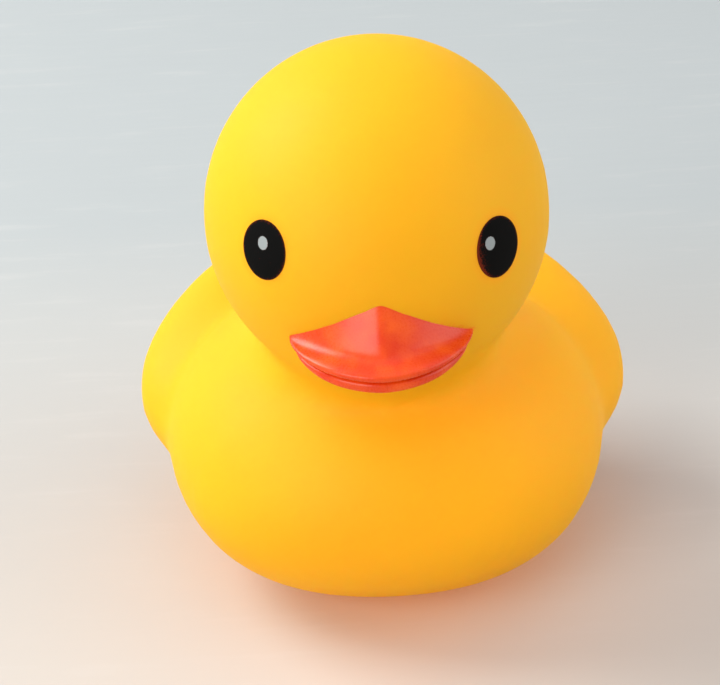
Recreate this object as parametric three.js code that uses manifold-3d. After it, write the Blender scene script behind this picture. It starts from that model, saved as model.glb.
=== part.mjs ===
// A squeaky bath duck: one hollow shell of soft vinyl, and the squeaker pressed into its base.
// Millimetres. The duck faces -Y, +Z is up, and it rests on z = 0.

import * as THREE from "three";
import { mergeVertices } from "three/addons/utils/BufferGeometryUtils.js";
import Module from "manifold-3d";

const { degToRad, smoothstep } = THREE.MathUtils;
const wasm = await Module();
wasm.setup();

// ---------------------------------------------------------------- driving dimensions

const wallThickness = 2.2;
const baseThickness = 3;

// The torso and the head are eggs: each has its own reach to the sides, forward, back, up and down.
const torso = { y: 0, z: 21, halfWidth: 35.5, forward: 36, back: 34, up: 24, down: 23.5 };
const head = { y: -8, z: 63, halfWidth: 25.7, forward: 28.5, back: 26.5, up: 26, down: 27 };

// The belly is fuller than an egg between its front, sides and back; this fades out with height.
const fullness = { share: 0.055, top: 40 };

// The neck fillet leaves the torso's arc and meets the head's arc at these angles from the level.
const neck = {
  side: { leavesTorso: degToRad(44), meetsHead: degToRad(40) },
  front: { leavesTorso: degToRad(46), meetsHead: degToRad(42) },
  back: { leavesTorso: degToRad(53), meetsHead: degToRad(28) },
};

const wing = {
  x: 24.8, y: 10.8, z: 23.5, halfWidth: 15.7, forward: 18, back: 26, up: 9, down: 11.2,
  pitch: degToRad(16.5), tipRise: 6, tipIn: 2, tipTaper: 0.35,
};

// The outline runs from the root to the tip: [share of the root's radius, share of the tip's reach].
const tail = {
  y: 20, z: 23.5, lean: degToRad(54), rootRadius: 17, stretchAcross: 1.15, tip: 27.9,
  tipWall: 2.2 * wallThickness, rings: 14,
  outline: [[0, -0.37], [0.8, -0.24], [1, 0], [0.82, 0.36], [0.45, 0.7], [0.16, 0.94], [0, 1]],
};

const bill = {
  y: -31, halfWidth: 13.2, back: 8,
  upper: { z: 54.8, forward: 12, flank: 3, ridge: 9.8, ridgeSpread: 7.5, ridgeRadius: 0.8, down: 0.9 },
  lower: { z: 53.2, halfWidth: 12.4, forward: 11.2, up: 0.8, down: 2.1 },
};

// The squeaker's seat: a thick ring moulded inside the base, with a recess for the flange below it.
const seat = { ringRadius: 12.5, ringTop: 5, recessRadius: 10.4, recessDepth: 1.6, holeRadius: 7.5 };
const gap = 0.3;
// How far a cutting solid runs past the face it cuts.
const overrun = 1;

const housing = {
  flangeRadius: 9.8, barrelRadius: 7.2, beadRadius: 8.4, boreRadius: 5.6, airHoleRadius: 1.5,
  floorTop: 2.1, beadHeight: 1.6, top: 12.5, flangeBevel: 0.4, beadRamp: 0.8,
};
const reed = { width: 3.2, length: 9, thickness: 0.25 };
const reedBlock = { height: 8.4, channelWidth: 1.8, channelDepth: 1.6, channelStart: 0.6, clampHeight: 3.2 };

// ---------------------------------------------------------------- solids

// A closed geometry as a manifold-3d solid.
function toSolid(geometry) {
  geometry.deleteAttribute("normal");
  geometry.deleteAttribute("uv");
  const merged = mergeVertices(geometry, 1e-4);
  return new wasm.Manifold(
    new wasm.Mesh({
      numProp: 3,
      vertProperties: merged.attributes.position.array,
      triVerts: new Uint32Array(merged.index.array),
    }),
  );
}

function toGeometry(solid) {
  const { numProp, numVert, vertProperties, triVerts } = solid.getMesh();
  const positions = new Float32Array(numVert * 3);
  for (let i = 0; i < numVert; i++) {
    positions.set(vertProperties.subarray(i * numProp, i * numProp + 3), i * 3);
  }
  const geometry = new THREE.BufferGeometry();
  geometry.setAttribute("position", new THREE.BufferAttribute(positions, 3));
  geometry.setIndex(new THREE.BufferAttribute(triVerts, 1));
  geometry.computeVertexNormals();
  return geometry;
}

// Moves each vertex of a geometry to where move(vertex) leaves it.
function reshape(geometry, move) {
  const positions = geometry.attributes.position;
  const vertex = new THREE.Vector3();
  for (let i = 0; i < positions.count; i++) {
    vertex.fromBufferAttribute(positions, i);
    move(vertex);
    positions.setXYZ(i, vertex.x, vertex.y, vertex.z);
  }
  return geometry;
}

// A unit ball with its poles on Z.
function ball(sides, rings) {
  return new THREE.SphereGeometry(1, sides, rings).rotateX(Math.PI / 2);
}

// A turned piece about Z from [radius, height] points.
function turned(points, sides = 36) {
  const profile = points.map(([radius, height]) => new THREE.Vector2(radius, height));
  return new THREE.LatheGeometry(profile, sides).rotateX(Math.PI / 2);
}

function disc(radius, bottom, top, sides = 36) {
  return turned([[0, bottom], [radius, bottom], [radius, top], [0, top]], sides);
}

// ---------------------------------------------------------------- duck's skin

// Where the tangents at a curve's end and at the next curve's start cross.
function corner(before, after) {
  const from = before.getPoint(1);
  const to = after.getPoint(0);
  const out = before.getTangent(1);
  const back = after.getTangent(0);
  const span = to.clone().sub(from);
  const along = span.cross(back) / out.cross(back);
  return from.addScaledVector(out, along);
}

// One profile of the torso, neck and head, from the middle of the base to the crown.
// x is the distance from the torso's upright axis, and y is the height.
function profile(torsoReach, headReach, headOffset, neckAngles, { inset, floor, detail }) {
  const reach = torsoReach - inset;
  const down = torso.down - inset;
  const rim = Math.asin((torso.z - floor) / down);
  const belly = new THREE.EllipseCurve(0, torso.z, reach, down, -rim, 0);
  const shoulder = new THREE.EllipseCurve(0, torso.z, reach, torso.up - inset, 0, neckAngles.leavesTorso);
  const cheekRadii = [headReach - inset, head.down - inset];
  const crownRadii = [headReach - inset, head.up - inset];
  const cheek = new THREE.EllipseCurve(headOffset, head.z, ...cheekRadii, -neckAngles.meetsHead, 0);
  const crown = new THREE.EllipseCurve(headOffset, head.z, ...crownRadii, 0, Math.PI / 2);
  const fillet = new THREE.QuadraticBezierCurve(shoulder.getPoint(1), corner(shoulder, cheek), cheek.getPoint(0));
  return [
    new THREE.Vector2(0, floor),
    ...belly.getPoints(3 * detail),
    ...shoulder.getPoints(2 * detail).slice(1),
    ...fillet.getPoints(2 * detail).slice(1),
    ...cheek.getPoints(2 * detail).slice(1),
    ...crown.getPoints(4 * detail).slice(1),
  ];
}

// The torso, neck and head as one skin: a lathe pulled out of round, ring by ring, so that it runs
// through a side, a front and a back profile. Its inset version is the inside of the wall.
function bodySkin(wall, sides) {
  const side = profile(torso.halfWidth, head.halfWidth, 0, neck.side, wall);
  const front = profile(torso.forward, head.forward, -head.y, neck.front, wall);
  const back = profile(torso.back, head.back, head.y, neck.back, wall);
  const geometry = new THREE.LatheGeometry(side, sides);
  const positions = geometry.attributes.position;
  for (let i = 0; i < positions.count; i++) {
    const ring = i % side.length;
    const angle = (Math.floor(i / side.length) / sides) * 2 * Math.PI;
    const across = Math.sin(angle);
    const along = Math.cos(angle);
    const end = along > 0 ? front[ring] : back[ring];
    const middle = head.y * smoothstep(side[ring].y, torso.z, head.z);
    const reach = along > 0 ? front[ring].x + middle : back[ring].x - middle;
    const height = side[ring].y * across ** 2 + end.y * along ** 2;
    const fade = 1 - smoothstep(side[ring].y, 0, fullness.top);
    const fuller = 1 + fullness.share * fade * (2 * across * along) ** 2;
    positions.setXYZ(i, side[ring].x * across * fuller, middle - reach * along * fuller, height);
  }
  return toSolid(geometry);
}

// A wing lies along the flank like a long egg, with its tip drawn in and up at the back.
function wingSolid(side, inset, sides, rings) {
  const geometry = reshape(ball(sides, rings), (v) => {
    const towardsTip = Math.max(0, v.y) ** 2;
    const taper = 1 - wing.tipTaper * towardsTip;
    v.x = v.x * (wing.halfWidth - inset) * taper - side * wing.tipIn * towardsTip;
    v.z = v.z * ((v.z > 0 ? wing.up : wing.down) - inset) * taper + wing.tipRise * towardsTip;
    v.y *= (v.y > 0 ? wing.back : wing.forward) - inset;
  });
  geometry.rotateX(wing.pitch);
  geometry.translate(side * wing.x, wing.y, wing.z);
  return toSolid(geometry);
}

// The tail is a drop that leans back out of the rump, wider across than it is thick.
function tailSolid(rootRadius, tip, sides) {
  const outline = tail.outline.map(([out, along]) => new THREE.Vector2(out * rootRadius, along * tip));
  const points = new THREE.SplineCurve(outline).getPoints(tail.rings);
  points.at(0).x = 0;
  points.at(-1).x = 0;
  const geometry = new THREE.LatheGeometry(points, sides).rotateX(Math.PI / 2);
  geometry.scale(tail.stretchAcross, 1, 1);
  geometry.rotateX(-tail.lean);
  geometry.translate(0, tail.y, tail.z);
  return toSolid(geometry);
}

// The upper bill is a flat dome with a ridge that runs down its middle; the lower bill is a thin lip.
function billSolid() {
  const { upper, lower } = bill;
  const upperBill = reshape(ball(32, 16), (v) => {
    const x = v.x * bill.halfWidth;
    const nearRidge = Math.exp(-Math.hypot(x, upper.ridgeRadius) / upper.ridgeSpread);
    const rise = upper.flank + (upper.ridge - upper.flank) * nearRidge;
    v.set(x, bill.y + v.y * (v.y < 0 ? upper.forward : bill.back), upper.z + v.z * (v.z > 0 ? rise : upper.down));
  });
  const lowerBill = reshape(ball(28, 8), (v) => {
    const y = bill.y + v.y * (v.y < 0 ? lower.forward : bill.back);
    v.set(v.x * lower.halfWidth, y, lower.z + v.z * (v.z > 0 ? lower.up : lower.down));
  });
  return toSolid(upperBill).add(toSolid(lowerBill));
}

// The shell: the skin with its wings, tail and bill, hollowed to an even wall, and opened through
// the thick ring that grips the squeaker.
function duckShell() {
  const outerFace = { inset: 0, floor: 0, detail: 3 };
  const innerFace = { inset: wallThickness, floor: baseThickness, detail: 2 };
  const tailOutside = tailSolid(tail.rootRadius, tail.tip, 22);
  const tailInside = tailSolid(tail.rootRadius - wallThickness, tail.tip - tail.tipWall, 14);
  let outside = bodySkin(outerFace, 44).add(tailOutside).add(billSolid());
  let inside = bodySkin(innerFace, 28).add(tailInside);
  for (const side of [-1, 1]) {
    outside = outside.add(wingSolid(side, 0, 24, 16));
    inside = inside.add(wingSolid(side, wallThickness, 16, 10));
  }
  const seatRing = toSolid(disc(seat.ringRadius, baseThickness / 2, seat.ringTop));
  const recess = toSolid(disc(seat.recessRadius, -overrun, seat.recessDepth));
  const hole = toSolid(disc(seat.holeRadius, -overrun, seat.ringTop + overrun));
  return toGeometry(outside.subtract(inside).add(seatRing).subtract(recess).subtract(hole));
}

// ---------------------------------------------------------------- squeaker

// The cup: a flange in the recess, a barrel through the ring, and a bead that snaps over it.
function squeakerHousing() {
  const { flangeRadius, barrelRadius, beadRadius, boreRadius, airHoleRadius, floorTop, beadHeight, top } = housing;
  const { flangeBevel, beadRamp } = housing;
  const flangeTop = seat.recessDepth - gap;
  const beadBottom = seat.ringTop + gap;
  const beadTop = beadBottom + beadHeight;
  return turned([
    [airHoleRadius, gap],
    [flangeRadius - flangeBevel, gap],
    [flangeRadius, gap + flangeBevel],
    [flangeRadius, flangeTop],
    [barrelRadius, flangeTop],
    [barrelRadius, beadBottom],
    [beadRadius, beadBottom],
    [beadRadius, beadTop - beadRamp],
    [barrelRadius, beadTop],
    [barrelRadius, top],
    [boreRadius, top],
    [boreRadius, floorTop],
    [airHoleRadius, floorTop],
    [airHoleRadius, gap],
  ]);
}

// Half of a split plug that fits the bore; facing is -1 for the half towards -Y, and 1 for the other.
function halfPlug(facing, faceDistance, height) {
  const bottom = housing.floorTop + gap;
  const radius = housing.boreRadius - gap;
  const plug = toSolid(disc(radius, bottom, bottom + height, 32));
  const cutter = new THREE.BoxGeometry(4 * radius, 2 * radius, 2 * (height + overrun));
  cutter.translate(0, facing * (faceDistance - radius), bottom + height / 2);
  return plug.subtract(toSolid(cutter));
}

// The reed lies across this half's channel, and the air that passes under it makes it buzz.
function reedBlockGeometry() {
  const { height, channelWidth, channelDepth, channelStart } = reedBlock;
  const bottom = housing.floorTop + gap;
  const channel = new THREE.BoxGeometry(channelWidth, 2 * channelDepth, 2 * height);
  channel.translate(0, -gap, bottom + channelStart + height);
  return toGeometry(halfPlug(-1, gap, height).subtract(toSolid(channel)));
}

// The short half that clamps the reed's root to the block.
function reedClampGeometry() {
  return toGeometry(halfPlug(1, reed.thickness + gap, reedBlock.clampHeight));
}

function reedGeometry() {
  const bottom = housing.floorTop + gap;
  const strip = new THREE.BoxGeometry(reed.width, reed.thickness, reed.length);
  return strip.translate(0, reed.thickness / 2, bottom + reed.length / 2);
}

// ---------------------------------------------------------------- assembly

function piece(name, geometry, color, roughness, metalness = 0) {
  const mesh = new THREE.Mesh(geometry, new THREE.MeshStandardMaterial({ color, roughness, metalness }));
  mesh.name = name;
  return mesh;
}

const duck = new THREE.Group();
duck.add(
  piece("duck_shell", duckShell(), 0xffc22a, 0.42),
  piece("squeaker_housing", squeakerHousing(), 0xf2f0e8, 0.5),
  piece("reed_block", reedBlockGeometry(), 0xe9e6da, 0.5),
  piece("reed_clamp", reedClampGeometry(), 0xe9e6da, 0.5),
  piece("reed", reedGeometry(), 0xc9a45c, 0.3, 1),
);

export default duck;
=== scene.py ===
import bmesh
import bpy
import math
from mathutils import Matrix, Vector
from mathutils.bvhtree import BVHTree
from mathutils.geometry import interpolate_bezier, intersect_line_line


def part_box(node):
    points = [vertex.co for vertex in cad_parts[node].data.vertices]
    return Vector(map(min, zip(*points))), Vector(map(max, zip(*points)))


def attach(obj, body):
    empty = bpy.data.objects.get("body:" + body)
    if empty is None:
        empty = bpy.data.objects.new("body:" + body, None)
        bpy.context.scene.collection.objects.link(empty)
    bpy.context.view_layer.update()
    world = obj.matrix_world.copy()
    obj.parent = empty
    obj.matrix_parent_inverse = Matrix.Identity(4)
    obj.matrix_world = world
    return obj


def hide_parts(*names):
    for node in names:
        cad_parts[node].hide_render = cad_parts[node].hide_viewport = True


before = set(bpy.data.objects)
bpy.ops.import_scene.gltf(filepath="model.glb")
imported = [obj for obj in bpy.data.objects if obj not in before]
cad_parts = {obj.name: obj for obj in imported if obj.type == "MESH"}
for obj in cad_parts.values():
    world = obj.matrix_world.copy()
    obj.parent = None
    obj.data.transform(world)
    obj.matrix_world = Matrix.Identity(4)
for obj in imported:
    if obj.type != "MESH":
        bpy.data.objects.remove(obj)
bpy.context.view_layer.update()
mm = 0.001
# what the modelling tools take as one place, in millimetres
tiny = 1e-4

# the shell's reach each way, in millimetres; the forms below are sized from it
shellLow, shellHigh = (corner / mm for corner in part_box("duck_shell"))


def linear(hexColour):
    # an sRGB hex value as the linear colour that the shaders take
    channels = [int(hexColour[i:i + 2], 16) / 255 for i in (1, 3, 5)]
    return [c / 12.92 if c <= 0.04045 else ((c + 0.055) / 1.055) ** 2.4 for c in channels] + [1.0]


def smooth(low, high, value):
    t = min(max((value - low) / (high - low), 0), 1)
    return t * t * (3 - 2 * t)


def pieceFrom(bm, name):
    mesh = bpy.data.meshes.new(name)
    bm.to_mesh(mesh)
    bm.free()
    piece = bpy.data.objects.new(name, mesh)
    bpy.context.scene.collection.objects.link(piece)
    return piece


def edit(piece, change):
    bm = bmesh.new()
    bm.from_mesh(piece.data)
    change(bm)
    bm.to_mesh(piece.data)
    bm.free()


def applyModifiers(piece):
    graph = bpy.context.evaluated_depsgraph_get()
    finished = bpy.data.meshes.new_from_object(piece.evaluated_get(graph))
    piece.modifiers.clear()
    piece.data = finished


def modify(piece, kind, **settings):
    modifier = piece.modifiers.new(kind.lower(), kind)
    for key, value in settings.items():
        setattr(modifier, key, value)
    applyModifiers(piece)


def combine(piece, tool, operation):
    modify(piece, "BOOLEAN", operation=operation, solver="EXACT", object=tool)
    bpy.data.objects.remove(tool)


def soften(bm, verts, rounds):
    for _ in range(rounds):
        bmesh.ops.smooth_vert(bm, verts=verts, factor=0.5, use_axis_x=True, use_axis_y=True, use_axis_z=True)


def spin(bm, outline, steps):
    # turns [radius, height] points about Z
    verts = [bm.verts.new((radius, 0, height)) for radius, height in outline]
    edges = [bm.edges.new(pair) for pair in zip(verts, verts[1:])]
    bmesh.ops.spin(
        bm, geom=verts + edges, cent=(0, 0, 0), axis=(0, 0, 1), angle=math.tau, steps=steps, use_merge=True,
    )
    bmesh.ops.remove_doubles(bm, verts=bm.verts, dist=tiny)
    bmesh.ops.recalc_face_normals(bm, faces=bm.faces)


def toMetres(piece):
    edit(piece, lambda bm: bmesh.ops.scale(bm, vec=(mm, mm, mm), verts=bm.verts))


def finish(piece, material, sharpAngle=180):
    # the material, the shading, and the body that the piece goes with
    piece.data.materials.clear()
    piece.data.materials.append(material)
    piece.data.shade_smooth()
    if sharpAngle < 180:
        piece.data.set_sharp_from_angle(angle=math.radians(sharpAngle))
    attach(piece, "root")


# millimetres and degrees
shot = {
    "target": (-3.43, 0, 35.78), "distance": 300, "elevation": 30, "roll": 2.9, "lens": 93.84, "nearest": 10,
}


def placeCamera():
    camera = bpy.data.objects.new("camera", bpy.data.cameras.new("camera"))
    bpy.context.scene.collection.objects.link(camera)
    camera.data.lens = shot["lens"]
    camera.data.clip_start = shot["nearest"] * mm
    elevation = math.radians(shot["elevation"])
    back = Vector((0, -math.cos(elevation), math.sin(elevation)))
    camera.matrix_world = (
        Matrix.Translation((Vector(shot["target"]) + back * shot["distance"]) * mm)
        @ back.to_track_quat("Z", "Y").to_matrix().to_4x4()
        @ Matrix.Rotation(math.radians(-shot["roll"]), 4, "Z")
    )
    bpy.context.scene.camera = camera
    print("camera placed")


room = {"colour": "#F3F5F8", "strength": 0.65}
duckMiddle = Vector((0, 0, 0.04))
# metres and watts; the window is to the left and a little behind the duck, and the wall and the cloth send
# its light back
lamps = {
    "window": {"at": (-0.72, 0.3, 0.72), "size": 0.62, "watts": 11.8, "colour": "#FFFDF6"},
    "wall": {"at": (-0.65, -0.68, 0.47), "size": 0.6, "watts": 6.8, "colour": "#FFFAF2"},
    "cloth": {"at": (0.95, -0.12, 0.42), "size": 0.8, "watts": 4.4, "colour": "#FFF8F0"},
    "ceiling": {"at": (0.2, 0.0, 1.1), "size": 1.2, "watts": 2.8, "colour": "#FFFFFF"},
}
# the light that comes through the soft shell onto the table
through = {"at": (0, 0, 0.02), "watts": 0.052, "size": 0.012, "colour": "#FF8814"}


def placeLights():
    for name, lamp in lamps.items():
        light = bpy.data.objects.new(name, bpy.data.lights.new(name, "AREA"))
        bpy.context.scene.collection.objects.link(light)
        light.data.size = lamp["size"]
        light.data.energy = lamp["watts"]
        light.data.color = linear(lamp["colour"])[:3]
        light.location = lamp["at"]
        aim = duckMiddle - light.location
        light.rotation_euler = aim.to_track_quat("-Z", "Y").to_euler()
    glow = bpy.data.objects.new("through", bpy.data.lights.new("through", "POINT"))
    bpy.context.scene.collection.objects.link(glow)
    glow.location = through["at"]
    glow.data.energy = through["watts"]
    glow.data.color = linear(through["colour"])[:3]
    glow.data.shadow_soft_size = through["size"]
    glow.data.use_shadow = False
    world = bpy.data.worlds.new("room")
    bpy.context.scene.world = world
    world.use_nodes = True
    sky = world.node_tree.nodes["Background"]
    sky.inputs["Color"].default_value = linear(room["colour"])
    sky.inputs["Strength"].default_value = room["strength"]
    bpy.context.scene.view_settings.view_transform = "Standard"
    print("lights placed")


def newMaterial(name):
    material = bpy.data.materials.new(name)
    material.use_nodes = True
    return material, material.node_tree.nodes["Principled BSDF"]


def setNode(material, node, settings, links):
    # settings by property or input, and links as {input: the output that feeds it}
    for key, value in settings.items():
        if isinstance(key, str) and hasattr(node, key):
            setattr(node, key, value)
        else:
            node.inputs[key].default_value = value
    for key, output in links.items():
        material.node_tree.links.new(node.inputs[key], output)


def add(material, kind, settings, links, output=0):
    # adds one node, and gives back one of its outputs
    node = material.node_tree.nodes.new("ShaderNode" + kind)
    setNode(material, node, settings, links)
    return node.outputs[output]


# a Mix node's two colours in and its colour out, whose names its other sockets have too
mixOne, mixTwo, mixOut = 6, 7, 2
# in the looks below, a range has the two values that it reads and the two that it makes of them
rangeEnds = ("From Min", "From Max", "To Min", "To Max")

vinylLook = {
    "deep": "#DCA109", "pale": "#E0AA0E", "cloud": 26 * mm, "roughness": (0.3, 0.7, 0.58, 0.68),
    # painted shade: the first colour on the next line makes a darker, oranger ring round each eye, standing
    # in for light that the ink keeps out of the vinyl under it, with a little real ink mist in it too
    "eyeShade": "#F09A06", "eyeShadeReach": 1.5 * mm, "eyeShadeShare": 0.5,
    "mist": "#E4480F", "mistReach": 1.6 * mm, "mistShare": (1.55, 2.05, 0, 0.7),
    "leftCheek": (0, 13 * mm, -0.35, 0.05), "speck": 0.3 * mm, "specks": 1.6,
    "dimple": 0.8 * mm, "dimpleDepth": 0.012 * mm,
    "ior": 1.45, "specular": 0.25, "seeThrough": 0.4, "seeDepth": (5 * mm, 2.2 * mm, 0.5 * mm),
}


def vinylMaterial():
    # rotocast plasticised vinyl: light enters its waxy skin and comes back warmer, so shadows stay orange
    # a mist of the bill's paint has drifted past the edge of the mask, most of all at the left cheek
    look = vinylLook
    material, skin = newMaterial("rotocastSoftVinyl")
    place = add(material, "TexCoord", {}, {}, "Object")
    cloud = add(material, "TexNoise", {"Scale": 1 / look["cloud"]}, {"Vector": place})
    clouded = add(
        material, "Mix", {"data_type": "RGBA", mixOne: linear(look["deep"]), mixTwo: linear(look["pale"])},
        {"Factor": cloud}, mixOut,
    )

    # painted shade round the eyes: the vinyl turns darker orange near the ink, where light coming back
    # through the vinyl is blocked, with some real ink mist in it as well
    nearEye = add(material, "Attribute", {"attribute_name": "nearEye"}, {}, "Fac")
    eyeShadeShare = add(material, "Math", {"operation": "MULTIPLY", 1: look["eyeShadeShare"]}, {0: nearEye})
    eyeShaded = add(
        material, "Mix", {"data_type": "RGBA", mixTwo: linear(look["eyeShade"])},
        {"Factor": eyeShadeShare, mixOne: clouded}, mixOut,
    )

    nearBill = add(material, "Attribute", {"attribute_name": "nearBill"}, {}, "Fac")
    across = add(material, "SeparateXYZ", {}, {"Vector": place}, "X")
    leftCheek = add(material, "MapRange", dict(zip(rangeEnds, look["leftCheek"])), {"Value": across})
    strewn = add(material, "Math", {"operation": "ADD"}, {0: nearBill, 1: leftCheek})
    specks = add(
        material, "TexNoise", {"Scale": 1 / look["speck"], "Detail": 3.0, "Roughness": 0.7},
        {"Vector": place},
    )
    drift = add(
        material, "Math", {"operation": "MULTIPLY_ADD", 1: look["specks"]}, {0: specks, 2: strewn},
    )
    mistShare = add(material, "MapRange", dict(zip(rangeEnds, look["mistShare"])), {"Value": drift})
    misted = add(
        material, "Mix", {"data_type": "RGBA", mixTwo: linear(look["mist"])},
        {"Factor": mistShare, mixOne: eyeShaded}, mixOut,
    )

    dimples = add(
        material, "TexNoise", {"Scale": 1 / look["dimple"], "Detail": 3.0, "Roughness": 0.6},
        {"Vector": place},
    )
    setNode(material, skin, {
        "IOR": look["ior"], "Specular IOR Level": look["specular"], "Subsurface Weight": look["seeThrough"],
        "Subsurface Radius": look["seeDepth"], "Subsurface Scale": 1.0,
    }, {
        "Base Color": misted,
        "Roughness": add(material, "MapRange", dict(zip(rangeEnds, look["roughness"])), {"Value": cloud}),
        "Normal": add(material, "Bump", {"Distance": look["dimpleDepth"]}, {"Height": dimples}),
    })
    return material


sprayLook = {
    "thick": "#D0350B", "thin": "#E25312", "cloud": 4 * mm, "patches": (0.4, 0.75, 0, 1),
    "grain": 0.35 * mm, "specks": (0.66, 0.72, 0, 0.35), "grainDepth": 0.006 * mm,
    "roughness": (0.3, 0.7, 0.23, 0.34), "specular": 0.32,
}


def billMaterial():
    # vinyl paint sprayed through a mask: semi-gloss, with a fine dry grain and thinner, oranger patches
    look = sprayLook
    material, coat = newMaterial("sprayedVinylPaint")
    place = add(material, "TexCoord", {}, {}, "Object")
    cloud = add(material, "TexNoise", {"Scale": 1 / look["cloud"], "Detail": 4.0}, {"Vector": place})
    patches = add(material, "MapRange", dict(zip(rangeEnds, look["patches"])), {"Value": cloud})
    patched = add(
        material, "Mix", {"data_type": "RGBA", mixOne: linear(look["thick"]), mixTwo: linear(look["thin"])},
        {"Factor": patches}, mixOut,
    )
    grain = add(
        material, "TexNoise", {"Scale": 1 / look["grain"], "Detail": 4.0, "Roughness": 0.7},
        {"Vector": place},
    )
    specks = add(material, "MapRange", dict(zip(rangeEnds, look["specks"])), {"Value": grain})
    speckled = add(
        material, "Mix", {"data_type": "RGBA", mixTwo: linear(look["thin"])},
        {"Factor": specks, mixOne: patched}, mixOut,
    )
    setNode(material, coat, {"Specular IOR Level": look["specular"]}, {
        "Base Color": speckled,
        "Roughness": add(material, "MapRange", dict(zip(rangeEnds, look["roughness"])), {"Value": grain}),
        "Normal": add(material, "Bump", {"Distance": look["grainDepth"]}, {"Height": grain}),
    })
    return material


inkLook = {
    "bare": "#64200A", "grain": 0.17 * mm, "bareWhere": (0.7, 0.77, 0, 1),
    "edgeWear": (0.86, 1.0, 0, 0.22), "sideWear": (0.45, 0.95, 0, 0.24), "roughness": 0.75, "specular": 0.08,
}


def inkMaterial(name, colour, wornSide):
    # pad-printed vinyl ink: flat and dull, with specks on the disc's worn side, where the pad hardly touched
    look = inkLook
    material, coat = newMaterial(name)
    onDisc = add(
        material, "Mapping", {"vector_type": "POINT", "Location": (-1, -1, 0), "Scale": (2, 2, 1)},
        {"Vector": add(material, "TexCoord", {}, {}, "UV")},
    )
    outward = add(material, "VectorMath", {"operation": "LENGTH"}, {0: onDisc}, "Value")
    aside = add(material, "VectorMath", {"operation": "DOT_PRODUCT", 1: wornSide}, {0: onDisc}, "Value")
    edgeWear = add(material, "MapRange", dict(zip(rangeEnds, look["edgeWear"])), {"Value": outward})
    sideWear = add(material, "MapRange", dict(zip(rangeEnds, look["sideWear"])), {"Value": aside})
    wear = add(material, "Math", {"operation": "ADD"}, {0: edgeWear, 1: sideWear})
    place = add(material, "TexCoord", {}, {}, "Object")
    grain = add(
        material, "TexNoise", {"Scale": 1 / look["grain"], "Detail": 3.0, "Roughness": 0.7},
        {"Vector": place},
    )
    speckled = add(material, "Math", {"operation": "ADD"}, {0: wear, 1: grain})
    bare = add(material, "MapRange", dict(zip(rangeEnds, look["bareWhere"])), {"Value": speckled})
    ink = add(
        material, "Mix", {"data_type": "RGBA", mixOne: linear(colour), mixTwo: linear(look["bare"])},
        {"Factor": bare}, mixOut,
    )
    setNode(
        material, coat, {"Roughness": look["roughness"], "Specular IOR Level": look["specular"]},
        {"Base Color": ink},
    )
    return material


polyethyleneLook = {
    "dark": "#E6E2D4", "light": "#F1EEE4", "flow": 5 * mm, "drawnOut": (1, 1, 1 / 3),
    "spark": 0.2 * mm, "sparkDepth": 0.006 * mm, "roughness": (0.3, 0.7, 0.42, 0.55),
    "seeThrough": 0.3, "seeDepth": (1.5 * mm, 1.2 * mm, 1.0 * mm),
}


def polyethyleneMaterial():
    # injection-moulded natural polyethylene: milky, a little see-through, with a fine spark-eroded texture
    look = polyethyleneLook
    material, body = newMaterial("mouldedPolyethylene")
    place = add(material, "TexCoord", {}, {}, "Object")
    upright = add(material, "Mapping", {"Scale": look["drawnOut"]}, {"Vector": place})
    flow = add(material, "TexNoise", {"Scale": 1 / look["flow"], "Detail": 3.0}, {"Vector": upright})
    milky = add(
        material, "Mix", {"data_type": "RGBA", mixOne: linear(look["dark"]), mixTwo: linear(look["light"])},
        {"Factor": flow}, mixOut,
    )
    spark = add(material, "TexNoise", {"Scale": 1 / look["spark"]}, {"Vector": place})
    setNode(material, body, {
        "Subsurface Weight": look["seeThrough"], "Subsurface Radius": look["seeDepth"],
        "Subsurface Scale": 1.0,
    }, {
        "Base Color": milky,
        "Roughness": add(material, "MapRange", dict(zip(rangeEnds, look["roughness"])), {"Value": flow}),
        "Normal": add(material, "Bump", {"Distance": look["sparkDepth"]}, {"Height": spark}),
    })
    return material


brassLook = {
    "dark": "#BE9850", "light": "#D2AE66", "line": 0.12 * mm, "drawnOut": (1, 1, 1 / 40),
    "lineDepth": 0.002 * mm, "roughness": (0.3, 0.7, 0.22, 0.38),
}


def brassMaterial():
    # cold-rolled brass strip: bright metal with fine lines along the way it was rolled
    look = brassLook
    material, strip = newMaterial("coldRolledBrass")
    place = add(material, "TexCoord", {}, {}, "Object")
    rolled = add(material, "Mapping", {"Scale": look["drawnOut"]}, {"Vector": place})
    lines = add(material, "TexNoise", {"Scale": 1 / look["line"]}, {"Vector": rolled})
    lined = add(
        material, "Mix", {"data_type": "RGBA", mixOne: linear(look["dark"]), mixTwo: linear(look["light"])},
        {"Factor": lines}, mixOut,
    )
    setNode(material, strip, {"Metallic": 1.0}, {
        "Base Color": lined,
        "Roughness": add(material, "MapRange", dict(zip(rangeEnds, look["roughness"])), {"Value": lines}),
        "Normal": add(material, "Bump", {"Distance": look["lineDepth"]}, {"Height": lines}),
    })
    return material


tableLook = {
    # painted light: the near colour is a warm, pale one and the far colour a colder, darker one, standing in
    # for warm light on the near table and dimmer light further off
    "near": "#C2BAB2", "far": "#A2A8AB", "paintedLightNearToFar": (-120 * mm, 120 * mm, 0, 1),
    "cloud": 60 * mm, "cloudColour": "#9A9DA0", "cloudShare": 0.12,
    "rub": 4 * mm, "drawnOut": (1 / 9, 1, 1), "rubColour": "#BDBDBC", "rubShare": (0.55, 0.75, 0, 0.25),
    "rubDepth": 0.02 * mm, "roughness": (0.35, 0.7, 0.55, 0.7), "specular": 0.3,
}


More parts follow.
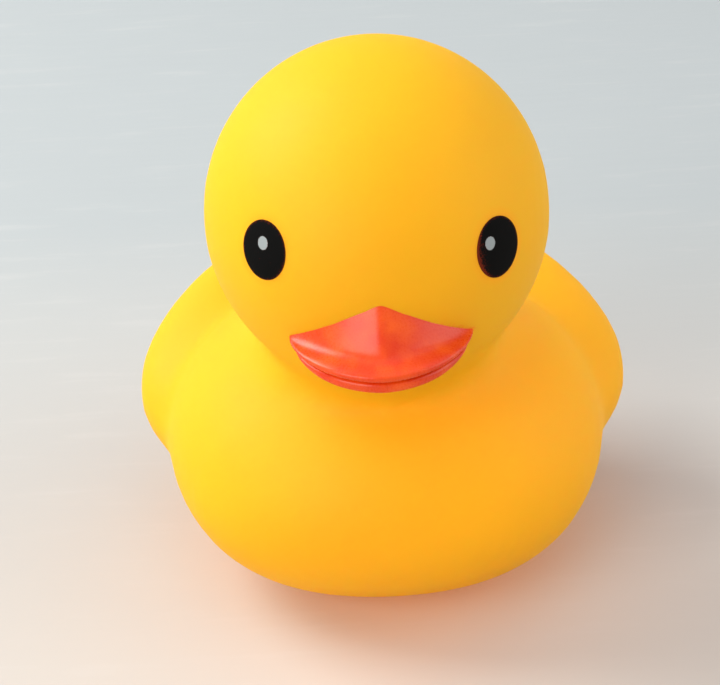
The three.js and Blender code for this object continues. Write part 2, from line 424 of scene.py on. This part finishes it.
def tableMaterial():
    # matt laminate: pale, faintly clouded, with some rubbed streaks; its colour is painted warmer and paler
    # towards the near side and colder and darker towards the far side, painted light that stands in for how
    # the light falls on the table
    look = tableLook
    material, top = newMaterial("mattLaminate")
    place = add(material, "TexCoord", {}, {}, "Object")
    away = add(material, "SeparateXYZ", {}, {"Vector": place}, "Y")
    # painted light: the colour shades from the warm, pale near side to the colder, darker far side
    paintedLightFade = add(material, "MapRange", dict(zip(rangeEnds, look["paintedLightNearToFar"])), {"Value": away})
    paintedLightColour = add(
        material, "Mix", {"data_type": "RGBA", mixOne: linear(look["near"]), mixTwo: linear(look["far"])},
        {"Factor": paintedLightFade}, mixOut,
    )
    cloud = add(material, "TexNoise", {"Scale": 1 / look["cloud"], "Detail": 4.0}, {"Vector": place})
    cloudShare = add(material, "Math", {"operation": "MULTIPLY", 1: look["cloudShare"]}, {0: cloud})
    clouded = add(
        material, "Mix", {"data_type": "RGBA", mixTwo: linear(look["cloudColour"])},
        {"Factor": cloudShare, mixOne: paintedLightColour}, mixOut,
    )
    streaked = add(material, "Mapping", {"Scale": look["drawnOut"]}, {"Vector": place})
    rubs = add(
        material, "TexNoise", {"Scale": 1 / look["rub"], "Detail": 5.0, "Roughness": 0.65},
        {"Vector": streaked},
    )
    rubShare = add(material, "MapRange", dict(zip(rangeEnds, look["rubShare"])), {"Value": rubs})
    rubbed = add(
        material, "Mix", {"data_type": "RGBA", mixTwo: linear(look["rubColour"])},
        {"Factor": rubShare, mixOne: clouded}, mixOut,
    )
    setNode(material, top, {"Specular IOR Level": look["specular"]}, {
        "Base Color": rubbed,
        "Roughness": add(material, "MapRange", dict(zip(rangeEnds, look["roughness"])), {"Value": rubs}),
        "Normal": add(material, "Bump", {"Distance": look["rubDepth"]}, {"Height": rubs}),
    })
    return material


# millimetres; the torso and the head each have their own reach to the sides, forward, back, up and down
torso = {"z": 21, "halfWidth": 35.5, "forward": 36, "back": 34, "up": 24, "down": 23.5}
head = {
    "y": -8, "z": 63, "halfWidth": 25.7, "forward": 28.5, "back": 26.5, "up": shellHigh.z - 63, "down": 27,
}
# the belly is fuller than an egg between its front, sides and back; this fades out with height
fullness = {"share": 0.055, "top": 40}
# the rows of faces in each stretch of the profile; a cap closes the crown at its end, just short of the pole
rows = {"belly": 12, "shoulder": 8, "throat": 12, "cheek": 10, "crown": 16, "crownEnd": 88}
# the neck's fillet leaves the torso's arc and meets the head's arc at these angles
neck = {"side": (44, 40), "front": (46, 42), "back": (53, 28)}
wing = {
    "at": (shellHigh.x - 15.7, 10.8, 23.5), "halfWidth": 15.7, "forward": 18, "back": 26,
    "up": 9, "down": 11.2, "pitch": 16.5, "taper": 0.35, "tipRise": 6, "tipIn": 2,
}
tail = {
    "at": (0, 20, 23.5), "halfWidth": 19.5, "forward": 10, "back": 28.9, "up": 17, "down": 17,
    "pitch": 36, "taper": 0.9,
}
# smoothing draws the wings and the tail in by the settling, so they start that much larger; the outer skin
# starts below the table and is cut level with it
wall = {
    "thickness": 2.2, "floor": 3, "belowTable": -1, "segments": 96, "settling": 0.45,
    "outerVoxel": 1.25, "outerRounds": 5, "innerVoxel": 1.8, "innerRounds": 2, "sharpAngle": 50,
}
# the flanks and the rump, where the wings and the tail run into the torso and are smoothed again
crease = {"bottom": 8, "top": 42, "front": -20, "out": 20, "rounds": 9}


def arc(middle, height, reach, rise, start, end, count):
    # points [distance out, 0, height] on an ellipse, from one angle above the level to another
    angles = [math.radians(start + (end - start) * i / count) for i in range(count + 1)]
    return [Vector((middle + reach * math.cos(a), 0, height + rise * math.sin(a))) for a in angles]


def profile(torsoReach, headReach, headOffset, fillet, inset, floor):
    # points from the base's rim to the crown
    leaves, meets = fillet
    down = torso["down"] - inset
    rim = math.degrees(math.asin((torso["z"] - floor) / down))
    reach = torsoReach - inset
    belly = arc(0, torso["z"], reach, down, -rim, 0, rows["belly"])
    shoulder = arc(0, torso["z"], reach, torso["up"] - inset, 0, leaves, rows["shoulder"])
    headReach -= inset
    cheek = arc(headOffset, head["z"], headReach, head["down"] - inset, -meets, 0, rows["cheek"])
    crown = arc(headOffset, head["z"], headReach, head["up"] - inset, 0, rows["crownEnd"], rows["crown"])
    bend, _ = intersect_line_line(shoulder[-2], shoulder[-1], cheek[1], cheek[0])
    throat = interpolate_bezier(
        shoulder[-1], shoulder[-1].lerp(bend, 2 / 3), cheek[0].lerp(bend, 2 / 3), cheek[0], rows["throat"],
    )
    return belly + shoulder[1:] + throat[1:] + cheek[1:] + crown[1:]


def addBody(bm, inset, floor):
    # rings pulled through a side, a front and a back profile, and bridged
    profiles = zip(
        profile(torso["halfWidth"], head["halfWidth"], 0, neck["side"], inset, floor),
        profile(torso["forward"], head["forward"], -head["y"], neck["front"], inset, floor),
        profile(torso["back"], head["back"], head["y"], neck["back"], inset, floor),
    )
    below = None
    for side, front, back in profiles:
        middle = head["y"] * smooth(torso["z"], head["z"], side.z)
        share = fullness["share"] * (1 - smooth(0, fullness["top"], side.z))
        ring = bmesh.ops.create_circle(bm, segments=wall["segments"], radius=1)["verts"]
        for v in ring:
            x, y, _ = v.co
            end = front if y < 0 else back
            reach = end.x + middle if y < 0 else end.x - middle
            fuller = 1 + share * (2 * x * y) ** 2
            v.co = (side.x * x * fuller, middle + reach * y * fuller, side.z * x * x + end.z * y * y)
        edges = list({e for v in ring for e in v.link_edges})
        if below:
            bmesh.ops.bridge_loops(bm, edges=below + edges)
        else:
            bmesh.ops.contextual_create(bm, geom=edges)
        below = edges
    bmesh.ops.contextual_create(bm, geom=below)


eggFaces = {"u_segments": 64, "v_segments": 40}


def addEgg(bm, form, inset, side=1):
    egg = bmesh.ops.create_uvsphere(bm, radius=1, **eggFaces)["verts"]
    for v in egg:
        x, y, z = v.co
        tip = max(0, y) ** 2
        taper = 1 - form["taper"] * tip
        v.co = (
            x * (form["halfWidth"] - inset) * taper - form.get("tipIn", 0) * tip,
            y * ((form["back"] if y > 0 else form["forward"]) - inset),
            z * ((form["up"] if z > 0 else form["down"]) - inset) * taper + form.get("tipRise", 0) * tip,
        )
    pitch = Matrix.Rotation(math.radians(form["pitch"]), 3, "X")
    bmesh.ops.rotate(bm, cent=(0, 0, 0), matrix=pitch, verts=egg)
    bmesh.ops.translate(bm, vec=form["at"], verts=egg)
    if side < 0:
        bmesh.ops.scale(bm, vec=(-1, 1, 1), verts=egg)
        bmesh.ops.reverse_faces(bm, faces=list({f for v in egg for f in v.link_faces}))


def bodySkin(name, inset, floor, voxel, rounds):
    bm = bmesh.new()
    addBody(bm, inset, floor)
    bmesh.ops.recalc_face_normals(bm, faces=bm.faces)
    addEgg(bm, tail, inset - wall["settling"])
    for side in (-1, 1):
        addEgg(bm, wing, inset - wall["settling"], side)
    piece = pieceFrom(bm, name)
    modify(piece, "REMESH", mode="VOXEL", voxel_size=voxel)
    edit(piece, lambda bm: soften(bm, bm.verts, rounds))
    return piece


def nearCrease(v):
    x, y, z = v.co
    return crease["bottom"] < z < crease["top"] and y > crease["front"] and math.hypot(x, y) > crease["out"]


def levelBase(bm):
    everything = bm.verts[:] + bm.edges[:] + bm.faces[:]
    cut = bmesh.ops.bisect_plane(
        bm, geom=everything, dist=tiny, plane_co=(0, 0, 0), plane_no=(0, 0, -1), clear_outer=True,
    )
    rim = [e for e in cut["geom_cut"] if isinstance(e, bmesh.types.BMEdge)]
    bmesh.ops.contextual_create(bm, geom=rim)


# the squeaker's seat: the boss inside the base, and the opening below it with its eased mouth
seat = {
    "boss": [(0, 0), (12.5, 0), (12.5, 5), (0, 5)], "bossSteps": 64, "openingSteps": 96,
    "opening": [(0, -2), (12.7, -2), (10.4, 0.3), (10.4, 1.6), (7.7, 1.6), (7.5, 1.8), (7.5, 8), (0, 8)],
}


def buildShell(material):
    shell = bodySkin("duckShell", 0, wall["belowTable"], wall["outerVoxel"], wall["outerRounds"])
    edit(shell, lambda bm: soften(bm, [v for v in bm.verts if nearCrease(v)], crease["rounds"]))
    modify(shell, "SUBSURF", levels=1, render_levels=1)
    edit(shell, levelBase)
    combine(shell, billForm("billCore", bill["coat"], bill["coreVoxel"]), "UNION")

    cavity = bodySkin("cavity", wall["thickness"], wall["floor"], wall["innerVoxel"], wall["innerRounds"])
    bm = bmesh.new()
    spin(bm, seat["boss"], seat["bossSteps"])
    combine(cavity, pieceFrom(bm, "boss"), "DIFFERENCE")
    combine(shell, cavity, "DIFFERENCE")

    bm = bmesh.new()
    spin(bm, seat["opening"], seat["openingSteps"])
    combine(shell, pieceFrom(bm, "opening"), "DIFFERENCE")

    toMetres(shell)
    finish(shell, material, wall["sharpAngle"])
    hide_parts("duck_shell")
    print("shell built,", len(shell.data.polygons), "faces")
    return shell


# millimetres; a roof falls from the ridge to both sides and forward, onto a flat brim with a crisp rim
bill = {
    "x": -0.4, "y": -31, "back": 8,
    "upper": {
        "z": 54.3, "halfWidth": 13.0, "forward": -31 - shellLow.y, "down": 0.5, "rim": 0.9, "brim": 1.6,
        "bluntness": 0.3, "roof": 7.0, "roofZ": 57, "roofInFace": 2, "fallAside": 0.58, "fallAhead": 1.62,
        "ridgeRadius": 0.7, "valleyRadius": 1.2,
    },
    "lower": {"z": 52.6, "halfWidth": 12.2, "forward": 11.3, "up": 1.5, "down": 1.5, "bluntness": 0.5},
    "pointed": 0.8, "pointedPower": 6, "roundness": 1.75, "smile": 0.6, "smilePower": 4,
    "coat": 0.35, "coatGap": 0.05, "sunk": 0.8, "paintVoxel": 0.2, "coreVoxel": 0.35, "rounds": 2,
}
billFaces = {"u_segments": 128, "v_segments": 64}


def faceY(x, z):
    # where the head's surface is, at this distance from the middle and at this height
    across = (x / head["halfWidth"]) ** 2 + ((z - head["z"]) / head["down"]) ** 2
    return head["y"] - head["forward"] * math.sqrt(max(0, 1 - across))


def softMax(a, b, radius):
    # the larger of two values, with a rounded change from one to the other
    return (a + b + math.sqrt((a - b) ** 2 + radius ** 2)) / 2


def addBill(bm, inset):
    upper, lower, p = bill["upper"], bill["lower"], bill["roundness"]
    for lip in (upper, lower):
        verts = bmesh.ops.create_uvsphere(bm, radius=1, **billFaces)["verts"]
        for v in verts:
            blunt = abs(v.co.z) ** lip["bluntness"]
            corner = 1 - bill["pointed"] * abs(v.co.x) ** bill["pointedPower"]
            plan = min(1, math.hypot(v.co.x, v.co.y))
            slim = (abs(v.co.x) ** p + abs(v.co.y) ** p) ** (1 / p) if plan else 1
            x = v.co.x * plan / slim * (lip["halfWidth"] - inset)
            y = bill["y"] + v.co.y * plan / slim * ((lip["forward"] if v.co.y < 0 else bill["back"]) - inset)
            if v.co.z < 0:
                z = lip["z"] - (lip["down"] - inset) * blunt * corner
            elif lip is lower:
                z = lip["z"] + lip["up"] * blunt * corner
            else:
                brim = upper["rim"] + upper["brim"] * (1 - plan ** 2)
                ahead = max(faceY(x, upper["roofZ"]) - y, -upper["roofInFace"])
                aside = math.hypot(x, upper["ridgeRadius"]) - upper["ridgeRadius"]
                roof = upper["roof"] - upper["fallAside"] * aside - upper["fallAhead"] * ahead
                z = lip["z"] + (brim + softMax(roof, 0, upper["valleyRadius"])) * blunt * corner - inset
            v.co = (bill["x"] + x, y, z + bill["smile"] * v.co.x ** bill["smilePower"])


def openBack(bm):
    # the coat ends where the bill runs into the face
    middles = {face: face.calc_center_median() for face in bm.faces}
    inside = [face for face, at in middles.items() if at.y > faceY(at.x, at.z) + bill["sunk"]]
    bmesh.ops.delete(bm, geom=inside, context="FACES")


def billForm(name, inset, voxel):
    bm = bmesh.new()
    addBill(bm, inset)
    form = pieceFrom(bm, name)
    modify(form, "REMESH", mode="VOXEL", voxel_size=voxel)
    edit(form, lambda bm: soften(bm, bm.verts, bill["rounds"]))
    return form


def buildBill(material):
    piece = billForm("billPaint", 0, bill["paintVoxel"])
    edit(piece, openBack)
    modify(piece, "SOLIDIFY", thickness=bill["coat"] - bill["coatGap"], offset=-1)
    toMetres(piece)
    finish(piece, material)
    print("bill built,", len(piece.data.polygons), "faces")
    return piece


# millimetres; each disc is laid on the head, and the right eye's pad hardly touched on the side near the bill
eyes = {
    "Left": {
        "at": (-16.25, -29.4, 68.15), "facing": (-0.67, -0.72, 0.20), "across": 4.08, "up": 4.35,
        "glintAt": (-16.15, -29.15, 69.15), "worn": (0, 0, 0),
    },
    "Right": {
        "at": (16.45, -29.4, 66.8), "facing": (0.68, -0.72, 0.15), "across": 4.2, "up": 4.45,
        "glintAt": (15.2, -30.4, 67.96), "worn": (-1, -0.1, 0),
    },
}
disc = {
    "glintAcross": 0.92, "glintUp": 0.97, "inkLift": 0.04, "glintLift": 0.07, "coat": 0.06, "rings": 14,
    "segments": 128, "sharpAngle": 60, "black": "#010101", "grey": "#8C9496",
}


def layDisc(name, shell, at, facing, across, up, lift, material):
    bm = bmesh.new()
    spin(bm, [(i / disc["rings"], 0) for i in range(disc["rings"] + 1)], disc["segments"])
    layer = bm.loops.layers.uv.new("disc")
    for face in bm.faces:
        for loop in face.loops:
            loop[layer].uv = loop.vert.co.xy / 2 + Vector((0.5, 0.5))
    bmesh.ops.scale(bm, vec=(across * mm, up * mm, 1), verts=bm.verts)
    turn = Vector(facing).to_track_quat("Z", "Y").to_matrix().to_4x4()
    bmesh.ops.transform(bm, matrix=Matrix.Translation(Vector(at) * mm) @ turn, verts=bm.verts)
    piece = pieceFrom(bm, name)
    modify(
        piece, "SHRINKWRAP", target=shell, wrap_method="NEAREST_SURFACEPOINT", wrap_mode="ABOVE_SURFACE",
        offset=lift * mm,
    )
    modify(piece, "SOLIDIFY", thickness=disc["coat"] * mm, offset=-1)
    finish(piece, material, disc["sharpAngle"])
    return piece


def buildEyes(shell):
    glintInk = inkMaterial("greyPadInk", disc["grey"], (0, 0, 0))
    printed = []
    for side, eye in eyes.items():
        ink = inkMaterial("blackPadInk" + side, disc["black"], eye["worn"])
        printed.append(layDisc(
            "eyePaint" + side, shell, eye["at"], eye["facing"], eye["across"], eye["up"],
            disc["inkLift"], ink,
        ))
        layDisc(
            "eyeGlint" + side, shell, eye["glintAt"], eye["facing"], disc["glintAcross"], disc["glintUp"],
            disc["glintLift"], glintInk,
        )
    print("eyes laid on")
    return printed


def markNear(shell, name, pieces, reach):
    # on each of the shell's vertices, how near it is to these pieces: 1 at them, and 0 from the reach away
    graph = bpy.context.evaluated_depsgraph_get()
    trees = [BVHTree.FromObject(piece, graph) for piece in pieces]
    mark = shell.data.attributes.new(name, "FLOAT", "POINT")
    for vertex, value in zip(shell.data.vertices, mark.data):
        away = [tree.find_nearest(vertex.co, reach)[3] for tree in trees]
        value.value = max(1 - (reach if d is None else d) / reach for d in away)


squeakerLow, squeakerHigh = (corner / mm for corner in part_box("squeaker_housing"))
# millimetres; a flange with a ring groove, a barrel, a bead that snaps over the seat, and an air hole
housing = {
    "flange": squeakerHigh.x, "barrel": 7.2, "bead": 8.4, "bore": 5.6, "airHole": 1.5,
    "bottom": squeakerLow.z, "flangeTop": 1.3, "floorTop": 2.1, "beadBottom": 5.3, "beadShoulder": 6.1,
    "beadTop": 6.9, "top": squeakerHigh.z,
    "groove": (3.4, 3.6, 4.4, 4.6), "grooveDepth": 0.3, "rounding": 0.12, "corner": 25, "steps": 96,
    "sharpAngle": 40,
}


def buildSqueaker(material):
    h = housing
    grooveTop = h["bottom"] + h["grooveDepth"]
    outline = [
        (h["airHole"], h["bottom"]), (h["groove"][0], h["bottom"]), (h["groove"][1], grooveTop),
        (h["groove"][2], grooveTop), (h["groove"][3], h["bottom"]), (h["flange"], h["bottom"]),
        (h["flange"], h["flangeTop"]), (h["barrel"], h["flangeTop"]), (h["barrel"], h["beadBottom"]),
        (h["bead"], h["beadBottom"]), (h["bead"], h["beadShoulder"]), (h["barrel"], h["beadTop"]),
        (h["barrel"], h["top"]), (h["bore"], h["top"]), (h["bore"], h["floorTop"]),
        (h["airHole"], h["floorTop"]), (h["airHole"], h["bottom"]),
    ]
    bm = bmesh.new()
    spin(bm, outline, h["steps"])
    corners = [e for e in bm.edges if e.calc_face_angle(0) > math.radians(h["corner"])]
    bmesh.ops.bevel(
        bm, geom=corners, offset=h["rounding"], segments=3, profile=0.5, affect="EDGES", material=-1,
    )
    piece = pieceFrom(bm, "squeakerHousing")
    toMetres(piece)
    finish(piece, material, h["sharpAngle"])
    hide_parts("squeaker_housing")
    print("squeaker built")


floorReach = 3  # metres from its middle to each side


def layFloor():
    bm = bmesh.new()
    bmesh.ops.create_grid(bm, x_segments=1, y_segments=1, size=floorReach)
    floor = pieceFrom(bm, "floor")
    floor.data.materials.append(tableMaterial())
    print("floor laid")


placeCamera()
placeLights()
layFloor()
shell = buildShell(vinylMaterial())
billPaint = buildBill(billMaterial())
printed = buildEyes(shell)
markNear(shell, "nearBill", [billPaint], vinylLook["mistReach"])
# how near each vertex is to the eyes' ink, which places the painted shade round them
markNear(shell, "nearEye", printed, vinylLook["eyeShadeReach"])
plastic = polyethyleneMaterial()
buildSqueaker(plastic)

brass = brassMaterial()
for node, material in {"reed_block": plastic, "reed_clamp": plastic, "reed": brass}.items():
    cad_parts[node].data.materials.clear()
    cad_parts[node].data.materials.append(material)
print("reed finished")
